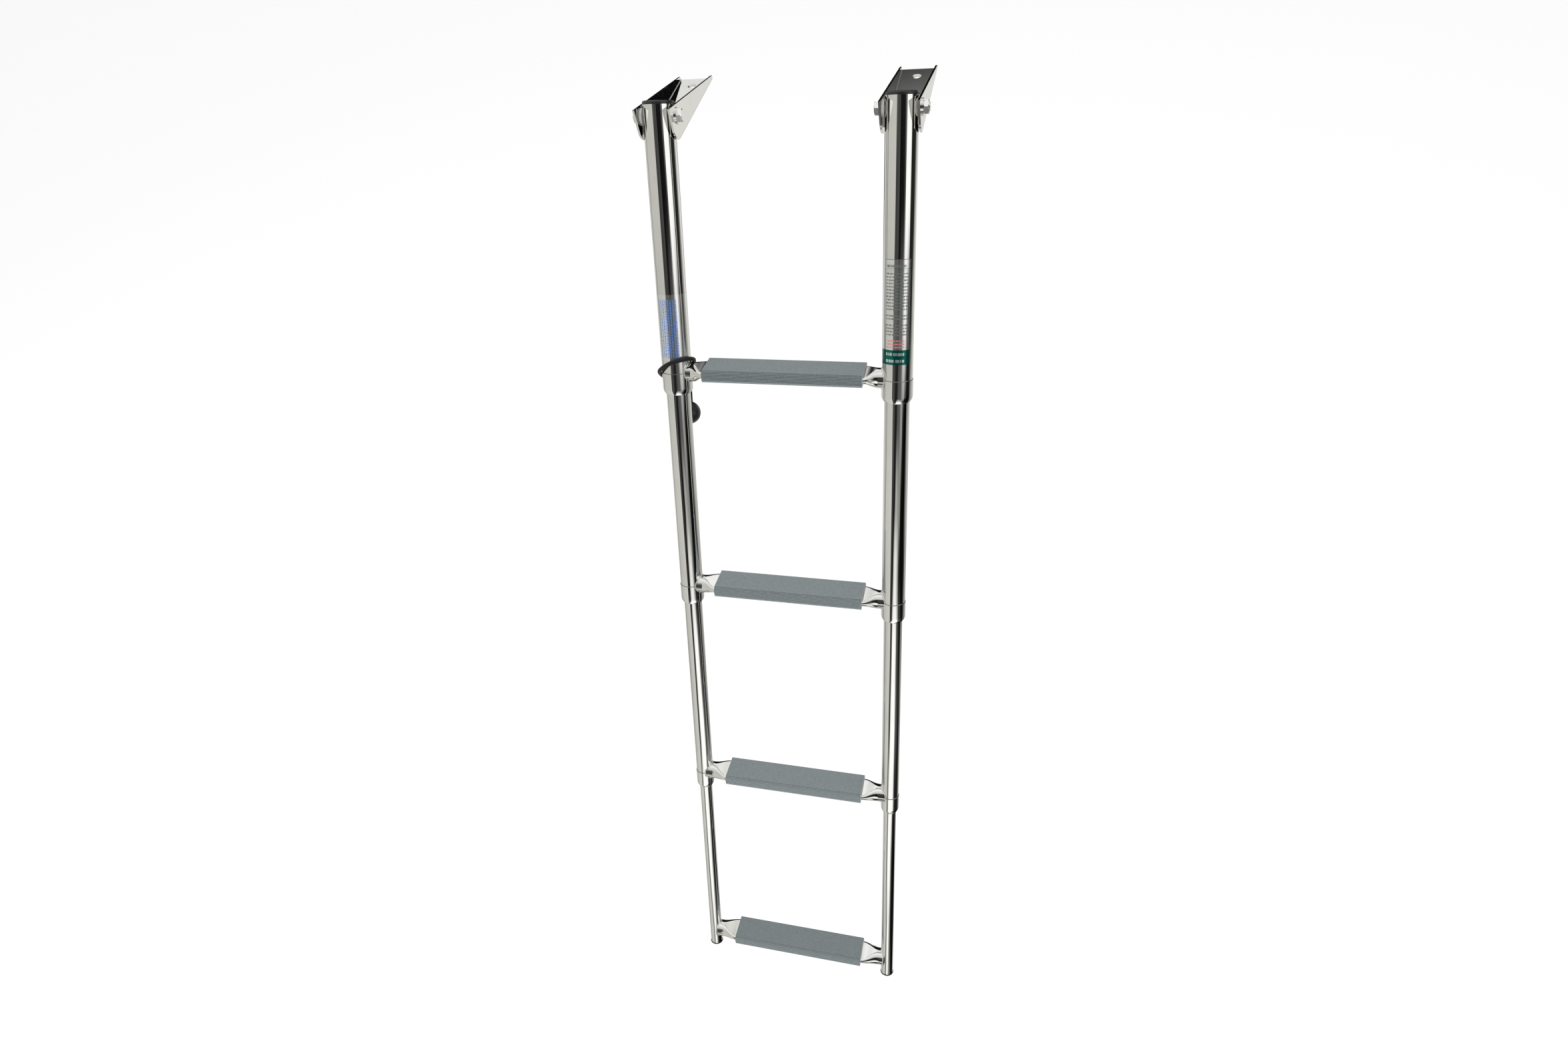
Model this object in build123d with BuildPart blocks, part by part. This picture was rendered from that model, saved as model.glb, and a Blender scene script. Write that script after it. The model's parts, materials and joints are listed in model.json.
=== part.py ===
from build123d import *
import os
from math import atan2, cos, degrees, radians, sin, tan

# Boat boarding ladder: four telescoping stainless sections hung from two hinged
# deck brackets, with a padded step on each section.
# Frame: +Z up, +Y towards the boat, +X along the steps.  The origin is the centre
# of the four deck screw holes, on the deck.  All sizes are in millimetres.

SIDES = (("left", -1), ("right", 1))

# ---- driving dimensions -------------------------------------------------------

# Rails.  Heights along the rails are counted from the hinge axis, downwards negative.
RAIL_SPACING = 289.0
TUBE_DIAMETERS = (38.1, 31.75, 25.4, 19.05)
TUBE_WALL = 1.2
STEP_LEVELS = (-307.0, -613.0, -933.0, -1253.0)
RAIL_TOP = 13.0
RAIL_END = -1281.0
REST_LEAN = 28.0
RUNNING_GAP = 0.1

# Collars at the foot of each outer rail, and the nylon bushes inside.
COLLAR_LENGTH = 28.4
COLLAR_STEP_OUT = 0.6
COLLAR_LIP = 2.2
COLLAR_ROUNDING = 8.0
GUIDE_LENGTH = 24.9
GUIDE_STOP_GAP = 0.3

# Steps: a round tube pressed flat under the tread.
STEP_TUBE_DIAMETER = 25.4
PRESSED_WIDTH = 35.3
PRESSED_HEIGHT = 8.0
PRESSED_HALF_LENGTH = 104.5
ROUND_END_LENGTH = 3.0
ROUND_SECTION_FLAT = 0.1
PRESSED_STAGES = (0.0, 0.25, 0.5, 0.75, 1.0)
COPE_DEPTH = 5.0

# Treads.
TREAD_LENGTH = 208.0
TREAD_WIDTH = 42.0
TREAD_BACK_EDGE = (-6.0, 6.0)
TREAD_FRONT_EDGE = (-7.0, 8.7)
TREAD_TILT = 18.0
TREAD_SETBACK = -2.0
TREAD_RAISE = 3.7
TREAD_NOSE_RADIUS = 7.0
TREAD_LOWER_RADIUS = 2.5
TREAD_BACK_RADIUS = 1.2
TREAD_FIT = 0.15
RIB_PITCH = 1.85
RIB_GROOVE_RADIUS = 0.55
NOSE_RIBS = 6
FRONT_RIBS = 2

# Deck brackets: folded channels with two tapering ears.
BRACKET_WIDTH = 46.0
SHEET = 2.5
BEND_OUTSIDE = 3.5
BEND_INSIDE = 1.0
EAR_FRONT = -105.0
EAR_FRONT_HEIGHT = 45.0
EAR_TAIL = 59.0
EAR_TAIL_HEIGHT = 6.1
EAR_HEEL_RADIUS = 20.0
EAR_BROW_RADIUS = 20.0
EAR_TAIL_RADIUS = 4.0
BASE_FRONT = -76.2
HINGE_Y = -85.0
HINGE_Z = 27.0
SCREW_SPACING = 80.0
SCREW_HOLE_RADIUS = 3.5
SCREW_SINK_RADIUS = 5.5
SCREW_SINK_ANGLE = 90

# Pivot hardware.
BOLT_DIAMETER = 9.53
BOLT_FLATS = 14.3
BOLT_HEAD = 6.0
BOLT_END = 31.5
NUT_HEIGHT = 5.9
HEX_CHAMFER = 1.2
WASHER_RADIUS = 9.5
WASHER_THICKNESS = 1.6
SPACER_RADIUS = 10.0
SPACER_GAP = 0.05

# Plastic ends.
CAP_RADIUS = 19.25
CAP_HEIGHT = 4.25
CAP_ROUNDING = 2.5
CAP_STEM = 7.0
FOOT_RADIUS = 10.2
FOOT_FLANGE = 1.5
FOOT_ROUNDING = 0.6
FOOT_STEM = 12.0
PLUG_FIT = 0.05

# Rating labels: clear films on the top rails, as bands of rail surface.
LABEL_FILM = 0.12
LABEL_LIFT = 0.02
LABELS = {
    "left": {"bottom": -289.0, "top": -206.0, "from_deg": -162.0, "sweep_deg": 184.0},
    "right": {"bottom": -286.0, "top": -162.0, "from_deg": -173.0, "sweep_deg": 136.0},
}

# Elastic retainer on the left rail: a cord loop with a ball behind the rail.
CORD_RADIUS = 2.7
BALL_RADIUS = 15.3
BALL_BACK = 35.5
BALL_LEVEL = -372.5
CORD_APART = 3.0
CORD_FIT = 0.2

# ---- derived dimensions -------------------------------------------------------

RAIL_X = RAIL_SPACING / 2
SECTION_COUNT = len(TUBE_DIAMETERS)
PIVOT_HOLE = BOLT_DIAMETER / 2 + RUNNING_GAP
WASHER_SEAT = BRACKET_WIDTH / 2
HEX_SEAT = WASHER_SEAT + WASHER_THICKNESS
SPACER_INNER = TUBE_DIAMETERS[0] / 2 + SPACER_GAP
SPACER_OUTER = BRACKET_WIDTH / 2 - SHEET - SPACER_GAP
LEAN = radians(REST_LEAN)
UP_RAIL = Vector(0, sin(LEAN), cos(LEAN))
BEHIND_RAIL = Vector(0, cos(LEAN), -sin(LEAN))
TILT = radians(TREAD_TILT)


# ---- places on the leaning ladder ---------------------------------------------


def at(x, behind, height):
    """A point beside the hinge axis: across, behind the rails and up the rails."""
    return Vector(x, HINGE_Y, HINGE_Z) + BEHIND_RAIL * behind + UP_RAIL * height


def across_rail(side, height):
    """The plane square to one rail; local Y points behind the rail."""
    return Plane(origin=at(side * RAIL_X, 0, height), x_dir=(1, 0, 0), z_dir=UP_RAIL)


def along_rail(side, height):
    """The plane through one rail's axis; local Y points up the rail."""
    return Plane(origin=at(side * RAIL_X, 0, height), x_dir=(1, 0, 0), z_dir=-BEHIND_RAIL)


def across_step(x, level):
    """The plane square to a step, centred in its tread; local X points to the back edge."""
    back = BEHIND_RAIL * cos(TILT) + UP_RAIL * sin(TILT)
    centre = at(x, TREAD_SETBACK, level + TREAD_RAISE)
    return Plane(origin=centre, x_dir=back, z_dir=(1, 0, 0))


def at_pivot(side, outboard):
    """The plane square to the hinge axis at a distance outboard of one rail's axis."""
    centre = (side * (RAIL_X + outboard), HINGE_Y, HINGE_Z)
    return Plane(origin=centre, x_dir=(0, 0, 1), z_dir=(side, 0, 0))


def save(piece, node):
    """Name a finished piece and write it."""
    piece.part.label = node
    export_step(piece.part, f"parts/{node}.step")


# ---- brackets and pivots ------------------------------------------------------


def deck_bracket(side):
    """Folded channel: base plate with two screw holes, and two ears for the pivot."""
    rail_x = side * RAIL_X
    with BuildPart() as bracket:
        with BuildSketch(Plane.YZ.offset(rail_x)) as outline:
            with BuildLine():
                Polyline(
                    (EAR_FRONT, 0),
                    (EAR_FRONT, EAR_FRONT_HEIGHT),
                    (EAR_TAIL, EAR_TAIL_HEIGHT),
                    (EAR_TAIL, 0),
                    close=True,
                )
            make_face()
            front = outline.vertices().sort_by(Axis.X)[0:2].sort_by(Axis.Y)
            tail = outline.vertices().sort_by(Axis.X)[2:4].sort_by(Axis.Y)
            fillet(front[0], EAR_HEEL_RADIUS)
            fillet(front[1], EAR_BROW_RADIUS)
            fillet(tail[1], EAR_TAIL_RADIUS)
        extrude(amount=BRACKET_WIDTH / 2, both=True)
        with BuildSketch(Plane.XZ):
            with Locations((rail_x, EAR_FRONT_HEIGHT)):
                RectangleRounded(BRACKET_WIDTH, 2 * EAR_FRONT_HEIGHT, BEND_OUTSIDE)
            with Locations((rail_x, SHEET + EAR_FRONT_HEIGHT)):
                RectangleRounded(
                    BRACKET_WIDTH - 2 * SHEET, 2 * EAR_FRONT_HEIGHT, BEND_INSIDE, mode=Mode.SUBTRACT
                )
        extrude(amount=-2 * EAR_FRONT, both=True, mode=Mode.INTERSECT)
        # The base stops short of the rail, which rests against its edge.
        with BuildSketch(Plane.XY):
            with Locations((rail_x, BASE_FRONT)):
                Rectangle(
                    BRACKET_WIDTH - 2 * SHEET, -2 * EAR_FRONT, align=(Align.CENTER, Align.MAX)
                )
        extrude(amount=SHEET + BEND_INSIDE, mode=Mode.SUBTRACT)
        with BuildSketch(at_pivot(side, 0)):
            Circle(PIVOT_HOLE)
        extrude(amount=BRACKET_WIDTH, both=True, mode=Mode.SUBTRACT)
        with Locations((rail_x, -SCREW_SPACING / 2, SHEET), (rail_x, SCREW_SPACING / 2, SHEET)):
            CounterSinkHole(
                SCREW_HOLE_RADIUS, SCREW_SINK_RADIUS, counter_sink_angle=SCREW_SINK_ANGLE
            )
    return bracket


def pivot_bolt(side):
    """Hexagon bolt through one bracket and rail, its head towards the other rail."""
    with BuildPart() as bolt:
        with BuildSketch(at_pivot(side, -HEX_SEAT)):
            Circle(BOLT_FLATS / 2 / cos(radians(30)))
        extrude(amount=-BOLT_HEAD)
        rims = bolt.edges().filter_by(GeomType.CIRCLE).sort_by_distance((0, HINGE_Y, HINGE_Z))
        chamfer(rims[0], HEX_CHAMFER)
        with BuildSketch(at_pivot(side, -HEX_SEAT)):
            RegularPolygon(BOLT_FLATS / 2, 6, major_radius=False)
        extrude(amount=-BOLT_HEAD, mode=Mode.INTERSECT)
        with BuildSketch(at_pivot(side, -HEX_SEAT)):
            Circle(BOLT_DIAMETER / 2)
        extrude(amount=HEX_SEAT + BOLT_END)
    return bolt


def pivot_nut(side):
    """Hexagon nut on the outboard end of a pivot bolt."""
    with BuildPart() as nut:
        with BuildSketch(at_pivot(side, HEX_SEAT)):
            Circle(BOLT_FLATS / 2 / cos(radians(30)))
        extrude(amount=NUT_HEIGHT)
        chamfer(nut.edges().filter_by(GeomType.CIRCLE), HEX_CHAMFER)
        with BuildSketch(at_pivot(side, HEX_SEAT)):
            RegularPolygon(BOLT_FLATS / 2, 6, major_radius=False)
        extrude(amount=NUT_HEIGHT, mode=Mode.INTERSECT)
        with BuildSketch(at_pivot(side, HEX_SEAT)):
            Circle(BOLT_DIAMETER / 2 + PLUG_FIT)
        extrude(amount=NUT_HEIGHT, mode=Mode.SUBTRACT)
    return nut


def pivot_discs(inner, thickness, radius):
    """Four washers, one inboard and one outboard of each rail."""
    with BuildPart() as discs:
        for _, side in SIDES:
            for direction in (-1, 1):
                with BuildSketch(at_pivot(side, direction * inner)):
                    Circle(radius)
                    Circle(PIVOT_HOLE, mode=Mode.SUBTRACT)
                extrude(amount=direction * thickness)
    return discs


# ---- rails --------------------------------------------------------------------


def rail_tube(side, diameter, bottom, top):
    """A plain length of tube along one rail."""
    with BuildPart() as tube:
        with BuildSketch(across_rail(side, bottom)):
            Circle(diameter / 2)
            Circle(diameter / 2 - TUBE_WALL, mode=Mode.SUBTRACT)
        extrude(amount=top - bottom)
    return tube


def outer_rail_tube(side):
    """The top rail, bored across for the pivot bolt."""
    with BuildPart() as tube:
        add(rail_tube(side, TUBE_DIAMETERS[0], STEP_LEVELS[0], RAIL_TOP))
        with BuildSketch(at_pivot(side, 0)):
            Circle(PIVOT_HOLE)
        extrude(amount=TUBE_DIAMETERS[0], both=True, mode=Mode.SUBTRACT)
    return tube


def collar(side, section):
    """Turned collar welded to a rail's foot, with a lip that holds the bush."""
    outside = TUBE_DIAMETERS[section] / 2 + COLLAR_STEP_OUT
    inside = TUBE_DIAMETERS[section] / 2 - TUBE_WALL
    lip = TUBE_DIAMETERS[section + 1] / 2 + 2 * RUNNING_GAP
    with BuildPart() as ring:
        with BuildSketch(along_rail(side, STEP_LEVELS[section])):
            with BuildLine():
                rim = Line((outside, 0), (outside, COLLAR_ROUNDING - COLLAR_LENGTH))
                TangentArc(rim @ 1, (lip, -COLLAR_LENGTH), tangent=(0, -1))
                Polyline(
                    (lip, -COLLAR_LENGTH),
                    (lip, COLLAR_LIP - COLLAR_LENGTH),
                    (inside, COLLAR_LIP - COLLAR_LENGTH),
                    (inside, 0),
                    (outside, 0),
                )
            make_face()
        revolve(axis=Axis(at(side * RAIL_X, 0, 0), UP_RAIL))
    return ring


def bush_pair(outside, inside, bottom, top):
    """Two nylon sleeves, one on each rail."""
    with BuildPart() as sleeves:
        for _, side in SIDES:
            with BuildSketch(across_rail(side, bottom)):
                Circle(outside)
                Circle(inside, mode=Mode.SUBTRACT)
            extrude(amount=top - bottom)
    return sleeves


def collar_bushes(section):
    """Sleeves held in the collars, which the next section slides through."""
    level = STEP_LEVELS[section]
    return bush_pair(
        TUBE_DIAMETERS[section] / 2 - TUBE_WALL - PLUG_FIT,
        TUBE_DIAMETERS[section + 1] / 2 + RUNNING_GAP,
        level - COLLAR_LENGTH + COLLAR_LIP + PLUG_FIT,
        level - PLUG_FIT,
    )


def guide_bushes(section):
    """Sleeves on the heads of the inner rails, which stop them leaving the rails above."""
    stop = STEP_LEVELS[section - 1] + GUIDE_STOP_GAP
    return bush_pair(
        TUBE_DIAMETERS[section - 1] / 2 - TUBE_WALL - RUNNING_GAP,
        TUBE_DIAMETERS[section] / 2 + PLUG_FIT,
        stop,
        stop + GUIDE_LENGTH,
    )


# ---- steps --------------------------------------------------------------------


def step_outline(share, inset):
    """Width and height of a step tube between pressed flat (0) and round (1)."""
    eased = share * share * (3 - 2 * share)
    height = PRESSED_HEIGHT + (STEP_TUBE_DIAMETER - PRESSED_HEIGHT) * eased
    width = PRESSED_WIDTH + (STEP_TUBE_DIAMETER + ROUND_SECTION_FLAT - PRESSED_WIDTH) * eased
    return width - 2 * inset, height - 2 * inset, eased


def step_form(level, round_from, end, inset):
    """Pressed middle, smooth transitions and short round ends of one step tube."""
    # The round tube's axis, seen from the centre of the tilted tread.
    axis_x = -TREAD_SETBACK * cos(TILT) - TREAD_RAISE * sin(TILT)
    axis_y = TREAD_SETBACK * sin(TILT) - TREAD_RAISE * cos(TILT)
    flat_width, flat_height, _ = step_outline(0, inset)
    round_width, round_height, _ = step_outline(1, inset)
    with BuildPart() as form:
        with BuildSketch(across_step(0, level)):
            SlotOverall(flat_width, flat_height)
        extrude(amount=PRESSED_HALF_LENGTH, both=True)
        for _, side in SIDES:
            for share in PRESSED_STAGES:
                width, height, eased = step_outline(share, inset)
                reach = PRESSED_HALF_LENGTH + share * (round_from - PRESSED_HALF_LENGTH)
                with BuildSketch(across_step(side * reach, level)):
                    with Locations((eased * axis_x, eased * axis_y)):
                        SlotOverall(width, height)
            loft()
            with BuildSketch(across_step(side * round_from, level)):
                with Locations((axis_x, axis_y)):
                    SlotOverall(round_width, round_height)
            extrude(amount=side * (end - round_from))
    return form


def step_tube(section):
    """Step tube, its ends coped to the rails above the seam and to the collars below."""
    level = STEP_LEVELS[section]
    rail_radius = TUBE_DIAMETERS[section] / 2
    has_collar = section < SECTION_COUNT - 1
    foot_radius = rail_radius + COLLAR_STEP_OUT if has_collar else rail_radius
    round_from = RAIL_X - foot_radius - ROUND_END_LENGTH
    end = RAIL_X - COPE_DEPTH
    with BuildPart() as tube:
        add(step_form(level, round_from, end, 0))
        add(step_form(level, round_from, end, TUBE_WALL), mode=Mode.SUBTRACT)
        for _, side in SIDES:
            with BuildSketch(across_rail(side, level)):
                Circle(rail_radius)
            extrude(amount=STEP_TUBE_DIAMETER, mode=Mode.SUBTRACT)
            with BuildSketch(across_rail(side, level)):
                Circle(foot_radius)
            extrude(amount=-STEP_TUBE_DIAMETER, mode=Mode.SUBTRACT)
    return tube


def step_tread(section):
    """Extruded PVC sleeve: flat top, ribbed rounded nose, wrapped round the pressed tube."""
    front = -TREAD_WIDTH / 2
    back = TREAD_WIDTH / 2
    # The nose arc touches the upright front and the slightly falling top.
    fall = atan2(TREAD_FRONT_EDGE[1] - TREAD_BACK_EDGE[1], TREAD_WIDTH)
    drop = TREAD_NOSE_RADIUS * (1 / cos(fall) + tan(fall))
    nose_centre = (front + TREAD_NOSE_RADIUS, TREAD_FRONT_EDGE[1] - drop)
    with BuildPart() as tread:
        with BuildSketch(across_step(0, STEP_LEVELS[section])) as profile:
            with BuildLine():
                Polyline(
                    (front, TREAD_FRONT_EDGE[0]),
                    (front, TREAD_FRONT_EDGE[1]),
                    (back, TREAD_BACK_EDGE[1]),
                    (back, TREAD_BACK_EDGE[0]),
                    close=True,
                )
            make_face()
            heel = profile.vertices().group_by(Axis.X)[-1]
            fillet(heel, TREAD_BACK_RADIUS)
            lip = profile.vertices().sort_by(Axis.Y)[0]
            fillet(lip, TREAD_LOWER_RADIUS)
            nose = profile.vertices().sort_by(Axis.Y)[-1]
            fillet(nose, TREAD_NOSE_RADIUS)
            SlotOverall(PRESSED_WIDTH + 2 * TREAD_FIT, PRESSED_HEIGHT + 2 * TREAD_FIT, mode=Mode.SUBTRACT)
            for rib in range(FRONT_RIBS):
                with Locations((front, nose_centre[1] - (rib + 1) * RIB_PITCH)):
                    Circle(RIB_GROOVE_RADIUS, mode=Mode.SUBTRACT)
            sweep_deg = degrees(RIB_PITCH / TREAD_NOSE_RADIUS) * (NOSE_RIBS - 1)
            with Locations(nose_centre):
                with PolarLocations(
                    TREAD_NOSE_RADIUS, NOSE_RIBS, 180 - sweep_deg, sweep_deg, endpoint=True
                ):
                    Circle(RIB_GROOVE_RADIUS, mode=Mode.SUBTRACT)
        extrude(amount=TREAD_LENGTH / 2, both=True)
    return tread


# ---- plastic ends, labels and retainer ----------------------------------------


def top_cap(side):
    """Plastic plug in the head of a top rail."""
    with BuildPart() as cap:
        with BuildSketch(across_rail(side, RAIL_TOP)):
            Circle(CAP_RADIUS)
        extrude(amount=CAP_HEIGHT)
        fillet(cap.edges().sort_by(Axis.Z)[-1], CAP_ROUNDING)
        with BuildSketch(across_rail(side, RAIL_TOP)):
            Circle(TUBE_DIAMETERS[0] / 2 - TUBE_WALL - PLUG_FIT)
        extrude(amount=-CAP_STEM)
    return cap


def foot_plug(side):
    """Plastic plug in the foot of a bottom rail."""
    with BuildPart() as plug:
        with BuildSketch(across_rail(side, RAIL_END)):
            Circle(FOOT_RADIUS)
        extrude(amount=-FOOT_FLANGE)
        fillet(plug.edges().sort_by(Axis.Z)[0], FOOT_ROUNDING)
        with BuildSketch(across_rail(side, RAIL_END)):
            Circle(TUBE_DIAMETERS[-1] / 2 - TUBE_WALL - PLUG_FIT)
        extrude(amount=FOOT_STEM)
    return plug


def rating_label(side, place):
    """Clear film wrapped part of the way round a top rail."""
    inside = TUBE_DIAMETERS[0] / 2 + LABEL_LIFT
    outside = inside + LABEL_FILM
    with BuildPart() as film:
        with BuildSketch(across_rail(side, place["bottom"])):
            with BuildLine():
                outer = CenterArc((0, 0), outside, place["from_deg"], place["sweep_deg"])
                inner = CenterArc((0, 0), inside, place["from_deg"], place["sweep_deg"])
                Line(outer @ 0, inner @ 0)
                Line(outer @ 1, inner @ 1)
            make_face()
        extrude(amount=place["top"] - place["bottom"])
    return film


def retaining_ball():
    """Ball with a pocket for the two ends of the cord."""
    with BuildPart() as ball:
        centre = at(-RAIL_X, BALL_BACK, BALL_LEVEL)
        with Locations(Plane(origin=centre, x_dir=(1, 0, 0), z_dir=UP_RAIL)):
            Sphere(BALL_RADIUS)
        with BuildSketch(across_rail(-1, BALL_LEVEL)):
            with Locations((0, BALL_BACK)):
                SlotOverall(
                    2 * (CORD_APART + CORD_RADIUS + CORD_FIT), 2 * (CORD_RADIUS + CORD_FIT)
                )
        extrude(amount=BALL_RADIUS, mode=Mode.SUBTRACT)
    return ball


def retaining_cord():
    """Elastic loop that hangs round the left rail on its collar, both ends in the ball."""
    rail = -RAIL_X
    ends = BALL_LEVEL + CORD_FIT
    neck = BALL_LEVEL + BALL_RADIUS
    path = [
        at(rail - CORD_APART, BALL_BACK, neck),
        at(rail - 11.0, 27.5, -338.0),
        at(rail - 19.5, 14.0, -322.0),
        at(rail - 22.6, 3.0, -313.5),
        at(rail - 21.5, -7.5, -307.0),
        at(rail - 16.0, -16.2, -301.5),
        at(rail - 8.5, -21.0, -296.3),
        at(rail, -22.4, -291.8),
        at(rail + 10.0, -20.1, -288.8),
        at(rail + 18.5, -12.6, -287.8),
        at(rail + 22.2, -3.0, -289.3),
        at(rail + 22.0, 6.0, -292.3),
        at(rail + 17.5, 16.0, -299.5),
        at(rail + 10.0, 27.0, -318.0),
        at(rail + CORD_APART, BALL_BACK, neck),
    ]
    with BuildPart() as cord:
        with BuildLine():
            Line(at(rail - CORD_APART, BALL_BACK, ends), path[0])
            Spline(path, tangents=(UP_RAIL, -UP_RAIL))
            Line(path[-1], at(rail + CORD_APART, BALL_BACK, ends))
        with BuildSketch(Plane(origin=path[0], x_dir=(1, 0, 0), z_dir=UP_RAIL)):
            Circle(CORD_RADIUS)
        sweep()
    return cord


# ---- the whole ladder ---------------------------------------------------------

os.makedirs("parts", exist_ok=True)

for name, side in SIDES:
    save(deck_bracket(side), f"{name}_bracket")
    save(pivot_bolt(side), f"{name}_pivot_bolt")
    save(pivot_nut(side), f"{name}_pivot_nut")
    save(top_cap(side), f"{name}_top_cap")
    save(foot_plug(side), f"{name}_foot_plug")
    save(rating_label(side, LABELS[name]), f"{name}_label")
    save(outer_rail_tube(side), f"{name}_tube_1")
    for section in range(1, SECTION_COUNT):
        head = STEP_LEVELS[section - 1] + GUIDE_STOP_GAP + GUIDE_LENGTH
        foot = RAIL_END if section == SECTION_COUNT - 1 else STEP_LEVELS[section]
        tube = rail_tube(side, TUBE_DIAMETERS[section], foot, head)
        save(tube, f"{name}_tube_{section + 1}")
    for section in range(SECTION_COUNT - 1):
        save(collar(side, section), f"{name}_collar_{section + 1}")

save(pivot_discs(WASHER_SEAT, WASHER_THICKNESS, WASHER_RADIUS), "pivot_washers")
save(pivot_discs(SPACER_INNER, SPACER_OUTER - SPACER_INNER, SPACER_RADIUS), "pivot_spacers")

for section in range(SECTION_COUNT):
    save(step_tube(section), f"step_{section + 1}_tube")
    save(step_tread(section), f"step_{section + 1}_tread")

for section in range(SECTION_COUNT - 1):
    save(collar_bushes(section), f"collar_bushes_{section + 1}")
    save(guide_bushes(section + 1), f"guide_bushes_{section + 2}")

save(retaining_cord(), "retaining_cord")
save(retaining_ball(), "retaining_ball")
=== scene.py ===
import json
import math

import bmesh
import bpy
from mathutils import Matrix, Vector


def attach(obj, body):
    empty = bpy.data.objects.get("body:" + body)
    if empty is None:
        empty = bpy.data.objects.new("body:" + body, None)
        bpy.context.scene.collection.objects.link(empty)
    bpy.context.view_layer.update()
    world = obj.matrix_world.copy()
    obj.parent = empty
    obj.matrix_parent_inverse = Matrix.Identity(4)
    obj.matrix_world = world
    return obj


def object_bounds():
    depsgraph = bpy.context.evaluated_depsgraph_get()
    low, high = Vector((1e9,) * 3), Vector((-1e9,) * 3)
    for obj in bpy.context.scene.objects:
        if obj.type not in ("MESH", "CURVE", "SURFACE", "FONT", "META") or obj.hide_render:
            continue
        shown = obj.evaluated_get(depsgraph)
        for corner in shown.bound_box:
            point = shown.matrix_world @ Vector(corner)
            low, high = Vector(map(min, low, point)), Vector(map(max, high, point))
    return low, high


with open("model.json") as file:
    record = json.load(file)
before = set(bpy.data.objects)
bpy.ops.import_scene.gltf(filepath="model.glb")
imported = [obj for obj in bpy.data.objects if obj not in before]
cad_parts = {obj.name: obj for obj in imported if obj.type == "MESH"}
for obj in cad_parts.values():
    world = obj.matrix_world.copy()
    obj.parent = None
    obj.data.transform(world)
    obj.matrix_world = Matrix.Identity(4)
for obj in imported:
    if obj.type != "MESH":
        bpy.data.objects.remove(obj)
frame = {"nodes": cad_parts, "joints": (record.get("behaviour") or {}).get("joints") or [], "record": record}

CAD_BOX = [list(corner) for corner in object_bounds()]

# ---- the ladder's own directions and sizes, from the frame ---------------------

JOINTS = {joint["name"]: joint for joint in frame["joints"]}
HINGE = Vector(JOINTS["deck_hinge"]["pos_m"])
UP = Vector(JOINTS["section_2_slide"]["axis"]).normalized()
ACROSS = Vector((1, 0, 0))
BEHIND = UP.cross(ACROSS).normalized()
MM = 0.001
SIDES = (("left", -1), ("right", 1))


def rail_place(point):
    """Ladder coordinates of a row-frame point: across, behind the rails, up the rails."""
    away = point - HINGE
    return Vector((point.x, away.dot(BEHIND), away.dot(UP)))


def at(across, behind, height):
    """The row-frame point at ladder coordinates counted from the hinge axis."""
    return HINGE + ACROSS * (across - HINGE.x) + BEHIND * behind + UP * height


def rail_span(node):
    """Lowest and highest ladder coordinates of a CAD node's vertices."""
    places = [rail_place(v.co) for v in frame["nodes"][node].data.vertices]
    low = Vector([min(p[i] for p in places) for i in range(3)])
    high = Vector([max(p[i] for p in places) for i in range(3)])
    return low, high


TUBES = {}
for name, side in SIDES:
    for section in range(1, 5):
        low, high = rail_span(f"{name}_tube_{section}")
        TUBES[name, section] = {
            "x": (low.x + high.x) / 2,
            "radius": (high.x - low.x) / 2,
            "foot": low.z,
            "head": high.z,
        }


def step_level(section):
    """Height of a step's round ends: its collar's top, or the middle of the last step tube."""
    if section < 4:
        return rail_span(f"left_collar_{section}")[1].z
    low, high = rail_span("step_4_tube")
    return (low.z + high.z) / 2


# The tread's profile: how it leans and sits on the step, and the arc of its ribbed nose.
TREAD_TILT = 18.0
TREAD_SETBACK = -2.0 * MM
TREAD_RAISE = 3.7 * MM
NOSE_RADIUS = 7.0 * MM
NOSE_CENTRE = (-14.0 * MM, 1.24 * MM)
RIBS_BEHIND = 2.0 * MM
RIBS_BELOW = 4.6 * MM
GROOVE_START = 0.06 * MM
GROOVE_FULL = 0.3 * MM
GROOVE_DEEPEST = 0.7 * MM
FRONT_BLEND = 6.0 * MM

# The treads by section, from the top: painted shade that darkens the lower treads' greys, painted
# shade darkening their grooves, and painted light that makes the ribbed front lighter than the flat.
TREAD_PAINTED_SHADE = {1: 1.0, 2: 1.0, 3: 0.96, 4: 0.84}
GROOVE_PAINTED_SHADE = {1: 0.62, 2: 0.42, 3: 0.26, 4: 0.18}
FRONT_PAINTED_LIGHT = {1: 1.04, 2: 1.16, 3: 1.32, 4: 1.42}
TREAD_GREYS = ((0.17, 0.198, 0.207), (0.262, 0.296, 0.305))

# ---- material helpers -----------------------------------------------------------


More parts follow.
